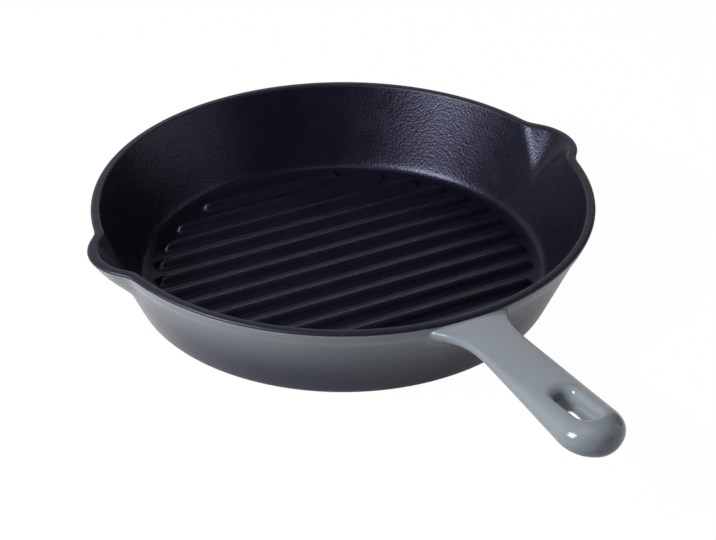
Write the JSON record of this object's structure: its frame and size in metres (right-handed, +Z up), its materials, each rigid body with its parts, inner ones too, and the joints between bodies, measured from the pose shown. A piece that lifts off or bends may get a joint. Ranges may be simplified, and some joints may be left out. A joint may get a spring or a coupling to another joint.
{
  "type": "grill pan",
  "caption": "Round enamelled cast iron grill pan with a ribbed floor, pouring spouts on both sides and a short cast handle with a hanging hole.",
  "frame": {"origin": "middle of the flat underside that the pan stands on", "axes": "+Z up out of the bowl, +X from the middle towards the handle's tip, the pouring spouts on +Y and -Y"},
  "size_m": [0.3724, 0.2778, 0.0567],
  "materials": {
    "bare_iron": "cast grey iron, hidden under the enamel",
    "satin_black_enamel": "satin black enamel with a fine pebbled grain",
    "gloss_graphite_enamel": "smooth gloss graphite grey enamel",
    "charcoal_rim_enamel": "semi-gloss charcoal enamel",
    "dark_base_enamel": "matt dark enamel, ground flat"
  },
  "bodies": {
    "root": {"iron_casting": "bare_iron", "inner_enamel": "satin_black_enamel", "outer_enamel": "gloss_graphite_enamel", "rim_enamel": "charcoal_rim_enamel", "base_enamel": "dark_base_enamel"}
  },
  "joints": []
}
